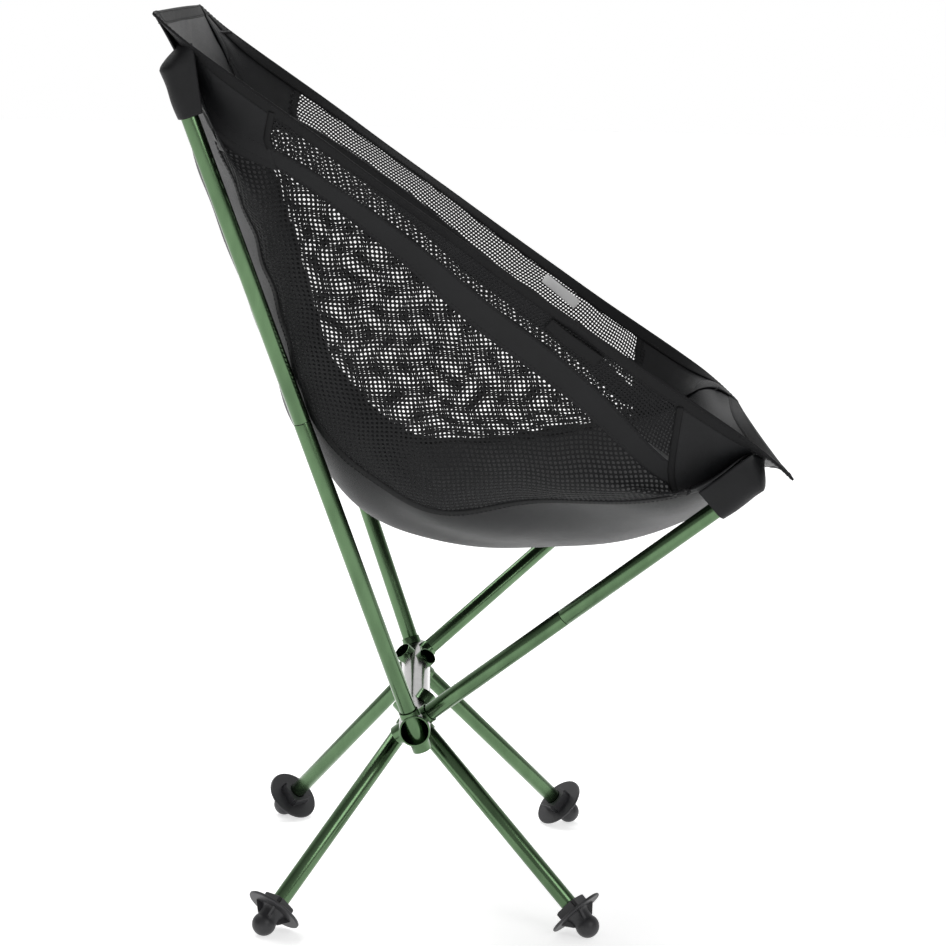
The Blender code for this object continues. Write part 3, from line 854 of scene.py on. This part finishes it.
def build_window_net(side_name, side):
    """The side window: the lattice hangs level, its columns leaning with the back poles."""
    count = 60
    ys = np.arange(-0.175, 0.190, NET_PITCH / 2)
    rails = np.linspace(1, 2.16, count) * side
    lines = [sling(STATIONS, np.full(len(STATIONS), rail)) for rail in rails]
    stations = np.array([[np.interp(-y, -line[:, 1], STATIONS) for line in lines] for y in ys])
    points = sling(stations, np.repeat(rails[None, :], len(ys), axis=0))
    run = across_lengths(points)
    run += (points[:, -1, 2] * 1.04 - run[:, -1])[:, None]

    def place(flat):
        y = flat[:, 0] - NET_LEAN * (0.45 - flat[:, 1])
        row = np.clip(np.interp(y, ys, np.arange(len(ys))), 0, len(ys) - 1.001)
        i = row.astype(int)
        share = row - i
        out = np.empty((len(flat), 2))
        for k in range(len(flat)):
            here = (1 - share[k]) * run[i[k]] + share[k] * run[i[k] + 1]
            column = np.interp(flat[k, 1], here, np.arange(count))
            j = min(int(column), count - 2)
            part = column - j
            low = stations[i[k], j] * (1 - part) + stations[i[k], j + 1] * part
            high = stations[i[k] + 1, j] * (1 - part) + stations[i[k] + 1, j + 1] * part
            out[k] = (1 - share[k]) * low + share[k] * high, rails[j] * (1 - part) + rails[j + 1] * part
        return sling(out[:, 0], out[:, 1])

    cells = []
    for a in np.arange(ys[0] - 0.02, ys[-1] + 0.05, NET_PITCH):
        for b in np.arange(0.27, 0.62, NET_PITCH):
            y = a - NET_LEAN * (0.45 - b)
            if not ys[1] < y < ys[-2]:
                continue
            i = int(np.interp(y, ys, np.arange(len(ys))))
            station = np.interp(b, run[i], stations[i])
            if run[i, 0] - 0.6 * NET_PITCH < b < run[i, -1] + 0.6 * NET_PITCH and 2.05 < station < 9.1:
                cells.append((a, b))
    data = net_mesh(f"window_net_{side_name}", cells, place, NET, NET_PITCH, NET_HOLE, 2 * side)
    declare_sheet(add_piece(f"window_net_{side_name}", data, NET, "seat", "seat_mesh",
                            f"window_mesh_{side_name}"))


def build_corner_patches(side_name, side):
    """Solid corners at the pole ends, each with a raised seam along its border."""
    columns = 60
    rails = np.linspace(1.0, 2.97, columns) * side
    back = between(np.full(columns, 0.03), back_patch_end(rails), rails, 60)
    front = between(front_patch_start(rails), np.full(columns, LAST - 0.03), rails, 60)
    for name, grids in (("back_corner_patch", back), ("front_corner_patch", front)):
        data = sheet_mesh(f"{name}_{side_name}_cloth", *grids, CLOTH, off=0.5 * MM)
        declare_sheet(add_piece(f"{name}_{side_name}_cloth", data, CLOTH, "seat", "seat_fabric",
                                f"{name}_{side_name}"))
    for kind, border, first in (("front", front_patch_start, 1.45), ("back", back_patch_end, 2.38)):
        rails = np.linspace(first, 2.9, 80) * side
        name = f"{kind}_corner_seam_{side_name}"
        seam = ribbon(name, border(rails), rails, 5.0 * MM, 1.9 * MM, TAPE, off=0.6 * MM)
        add_piece(name, seam, TAPE, "seat", "seat_binding")


def build_hems():
    """Folded bindings round the sling, with two rows of stitching each."""
    half = HEM_WIDTH / 2
    rows = []
    for side_name, side in SIDES:
        stations = np.linspace(0, LAST, 240)
        rails = np.array([rail_inside(s, side, half) for s in stations])
        data = ribbon(f"side_hem_{side_name}_tape", stations, rails, HEM_WIDTH, HEM_THICKNESS, TAPE)
        add_piece(f"side_hem_{side_name}_tape", data, TAPE, "seat", "seat_binding", f"side_hem_{side_name}")
        for margin in (STITCH_MARGIN, HEM_WIDTH - STITCH_MARGIN):
            inner = np.array([rail_inside(s, side, margin) for s in stations])
            for off in (1, -1):
                rows.append((stations, inner, off * (HEM_THICKNESS / 2 + 0.02 * MM)))
    for name, last in (("top_hem", False), ("front_hem", True)):
        rails = np.linspace(-2.86, 2.86, 150)
        stations = np.array([station_inside(r, last, half) for r in rails])
        data = ribbon(f"{name}_tape", stations, rails, HEM_WIDTH, HEM_THICKNESS * 0.94, TAPE)
        add_piece(f"{name}_tape", data, TAPE, "seat", "seat_binding", name)
        for margin in (STITCH_MARGIN, HEM_WIDTH - STITCH_MARGIN):
            inner = np.array([station_inside(r, last, margin) for r in rails])
            for off in (1, -1):
                rows.append((inner, rails, off * (HEM_THICKNESS / 2 + 0.02 * MM)))
    add_piece("hem_stitching", stitching("hem_stitching", rows), THREAD, "seat", "seat_binding")


def build_seams(side_name, side):
    """The load tape under the side band, and the panel seam round the window."""
    columns = 9
    rails = np.linspace(TAPE_RAILS[0], TAPE_RAILS[1], columns) * side
    grids = between(np.full(columns, 1.2), np.full(columns, 9.0), rails, 260)
    tape = sheet_mesh(f"seam_tape_{side_name}", *grids, CLOTH, thickness=1.3 * MM)
    add_piece(f"seam_tape_{side_name}", tape, CLOTH, "seat", "seat_binding")
    stations = np.linspace(2.0, 9.2, 220)
    seam = ribbon(f"panel_seam_{side_name}", stations, np.full(220, 1.0 * side), 7.0 * MM, 1.6 * MM, TAPE)
    add_piece(f"panel_seam_{side_name}", seam, TAPE, "seat", "seat_binding")
    rows = []
    for off in (1, -1):
        rows.append((stations, np.full(220, 0.985 * side), off * 0.85 * MM))
        rows.append((stations, np.full(220, 1.03 * side), off * 0.85 * MM))
    stations = np.linspace(1.3, 9.0, 200)
    for off in (1, -1):
        for rail in (TAPE_RAILS[0] + 0.03, TAPE_RAILS[1] - 0.03):
            rows.append((stations, np.full(200, rail * side), off * 0.7 * MM))
    add_piece(f"seam_stitching_{side_name}", stitching(f"seam_stitching_{side_name}", rows), THREAD,
              "seat", "seat_binding")


def sleeve_section(feet, radius, steps):
    """A taut cloth's section from one foot over a round pole at the origin to the other foot."""
    angles = []
    for foot, turn in zip(feet, (1, -1)):
        far = max(math.hypot(*foot), radius * 1.02)
        angles.append(math.atan2(foot[1], foot[0]) + turn * math.acos(radius / far))
    first, last = angles
    while last < first:
        last += 2 * math.pi
    arc = [(radius * math.cos(a), radius * math.sin(a)) for a in np.linspace(first, last, 16)]
    path = np.array([feet[0], *arc, feet[1]])
    run = np.concatenate([[0], np.cumsum(np.hypot(*np.diff(path, axis=0).T))])
    places = np.linspace(0, run[-1], steps)
    return np.stack([np.interp(places, run, path[:, 0]), np.interp(places, run, path[:, 1])], axis=1), run[-1]


def build_pocket(name, side):
    """A flat sleeve sewn on the sling's outer side: its cloth is pulled tight over the pole's end."""
    matrix, length, outer = axis_frame(f"pocket_{name}", JOINTS[f"pull_lower_{name}"]["axis"])
    way = np.array((matrix.to_3x3() @ Vector((0, 0, 1))).normalized())
    start = np.array(matrix.translation)
    half = CLOTHED[:, RAILS * side >= 0.7].reshape(-1, 3)
    middle = start + 0.5 * length * way
    normal = middle - half[np.argmin(np.linalg.norm(half - middle, axis=1))]
    normal = unit(normal - (normal @ way) * way)
    across = np.cross(normal, way) * side
    reach = np.linspace(-2 * MM, length + 8 * MM, 30)
    feet = np.empty((len(reach), 2, 2))
    for r, run in enumerate(reach):
        axis = start + run * way
        for k, offset in enumerate((15 * MM, -13 * MM)):
            target = axis + offset * across - 9 * MM * normal
            foot = half[np.argmin(np.linalg.norm(half - target, axis=1))] - axis
            feet[r, k] = foot @ across, foot @ normal
    for k in range(2):
        for axis in range(2):
            feet[:, k, axis] = np.polyval(np.polyfit(reach, feet[:, k, axis], 1), reach)
    columns = 36
    points = np.empty((len(reach), columns, 3))
    flat = np.empty((len(reach), columns, 2))
    for r, run in enumerate(reach):
        closing = float(np.clip((run - length + 3 * MM) / (11 * MM), 0, 1)) ** 1.5
        section, wide = sleeve_section(feet[r].tolist(), outer * 0.94, columns)
        chord = feet[r, 0] + np.linspace(0, 1, columns)[:, None] * (feet[r, 1] - feet[r, 0])
        section = section + closing * (chord + (0, 0.8 * MM) - section)
        share = np.linspace(-1, 1, columns)
        section[:, 1] += 0.35 * MM * np.sin(7 * share + 190 * run) * (1 - share ** 2)
        points[r] = start + run * way + section[:, :1] * across + section[:, 1:] * normal
        flat[r, :, 0] = wide * share / 2
        flat[r, :, 1] = run
    data = mesh_from(f"pocket_{name}_cloth", points.reshape(-1, 3), grid_faces(len(reach), columns))
    give_uv(data, flat.reshape(-1, 2))
    data.materials.append(CLOTH)
    data = thicken(data, 0.9 * MM)
    declare_sheet(add_piece(f"pocket_{name}_cloth", data, CLOTH, "seat", "seat_fabric", f"pocket_{name}"))


def build_trim():
    """The webbing loop outside the right hem and the blank label inside the left hem."""
    stations = np.linspace(6.72, 7.48, 24)
    arch = np.sin(np.linspace(0, math.pi, 24))
    loop = ribbon("gear_loop_webbing", stations, np.full(24, -2.70), 10 * MM, 1.2 * MM, TAPE,
                  off=(1.6 * MM + 1.6 * MM * arch)[:, None])
    add_piece("gear_loop_webbing", loop, TAPE, "seat", "seat_binding", "gear_loop")
    stations = np.linspace(7.02, 7.58, 16)
    label = ribbon("blank_label", stations, np.full(16, 2.66), 9 * MM, 0.5 * MM, LABEL, off=-1.5 * MM)
    add_piece("blank_label", label, LABEL, "seat", "label", "blank_tag")


def build_sling():
    build_centre_panel()
    for side_name, side in SIDES:
        build_window_net(side_name, side)
        build_band_net(side_name, side)
        build_corner_patches(side_name, side)
        build_seams(side_name, side)
        build_pocket(f"back_{side_name}", side)
        build_pocket(f"front_{side_name}", side)
    build_hems()
    build_trim()


# ---------------------------------------------------------------- studio

def build_camera():
    yaw, pitch, roll = CAMERA_YAW, CAMERA_PITCH, CAMERA_ROLL
    look = Vector((math.cos(yaw) * math.cos(pitch), math.sin(yaw) * math.cos(pitch), -math.sin(pitch)))
    level = look.cross(Vector((0, 0, 1))).normalized()
    upright = level.cross(look)
    right = math.cos(roll) * level + math.sin(roll) * upright
    up = -math.sin(roll) * level + math.cos(roll) * upright
    data = bpy.data.cameras.new("camera")
    data.lens = CAMERA_LENS
    data.sensor_width = 36
    made = bpy.data.objects.new("camera", data)
    made.matrix_world = Matrix.Translation(CAMERA_PLACE) @ Matrix((right, up, -look)).transposed().to_4x4()
    bpy.context.scene.collection.objects.link(made)
    bpy.context.scene.camera = made


def area_light(name, place, target, size, power):
    data = bpy.data.lights.new(name, "AREA")
    data.shape = "RECTANGLE"
    data.size, data.size_y = size
    data.energy = power
    made = bpy.data.objects.new(name, data)
    made.location = place
    made.rotation_euler = (Vector(target) - Vector(place)).to_track_quat("-Z", "Y").to_euler()
    bpy.context.scene.collection.objects.link(made)


def build_studio():
    """A pale floor, a white surround and large soft lights."""
    build = bmesh.new()
    bmesh.ops.create_grid(build, x_segments=1, y_segments=1, size=12)
    data = bpy.data.meshes.new("floor")
    build.to_mesh(data)
    build.free()
    floor = bpy.data.objects.new("floor", data)
    bpy.context.scene.collection.objects.link(floor)
    pale, _, shader = coat("pale_floor", (0.9, 0.9, 0.9), 0.9)
    shader.inputs["Emission Color"].default_value = (1, 1, 1, 1)
    shader.inputs["Emission Strength"].default_value = FLOOR_GLOW
    data.materials.append(pale)
    build_world()
    area_light("top", (0.9, 0.3, 2.3), (0, 0, 0.35), (2.2, 1.6), 38)
    area_light("side", (-2.2, -1.5, 1.5), (0, 0, 0.35), (1.2, 1.2), 14)
    bpy.context.scene.view_settings.view_transform = "Standard"


def build_world():
    """White surroundings, brightest behind the chair and dimmest beside the camera."""
    world = bpy.data.worlds.new("studio")
    bpy.context.scene.world = world
    world.use_nodes = True
    tree = world.node_tree
    background = tree.nodes["Background"]
    where = add(tree, "ShaderNodeTexCoord")
    split = add(tree, "ShaderNodeSeparateXYZ")
    tree.links.new(where.outputs["Generated"], split.inputs[0])
    glow = add(tree, "ShaderNodeValToRGB")
    stops = glow.color_ramp.elements
    stops[0].position, stops[0].color = 0.0, (0.42, 0.42, 0.42, 1)
    stops[1].position, stops[1].color = 1.0, (1, 1, 1, 1)
    dim = stops.new(0.42)
    dim.color = (0.16, 0.16, 0.16, 1)
    across = add(tree, "ShaderNodeMapRange")
    across.inputs["From Min"].default_value = -1
    tree.links.new(split.outputs["X"], across.inputs["Value"])
    tree.links.new(across.outputs["Result"], glow.inputs["Fac"])
    rays = add(tree, "ShaderNodeLightPath")
    seen = add(tree, "ShaderNodeMix", data_type="RGBA")
    tree.links.new(rays.outputs["Is Camera Ray"], seen.inputs["Factor"])
    tree.links.new(glow.outputs["Color"], seen.inputs[6])
    seen.inputs[7].default_value = (1, 1, 1, 1)
    tree.links.new(seen.outputs[2], background.inputs["Color"])


build_camera()
build_studio()
build_cross_tube()
build_tubes()
finish_cad_nodes()
build_sling()
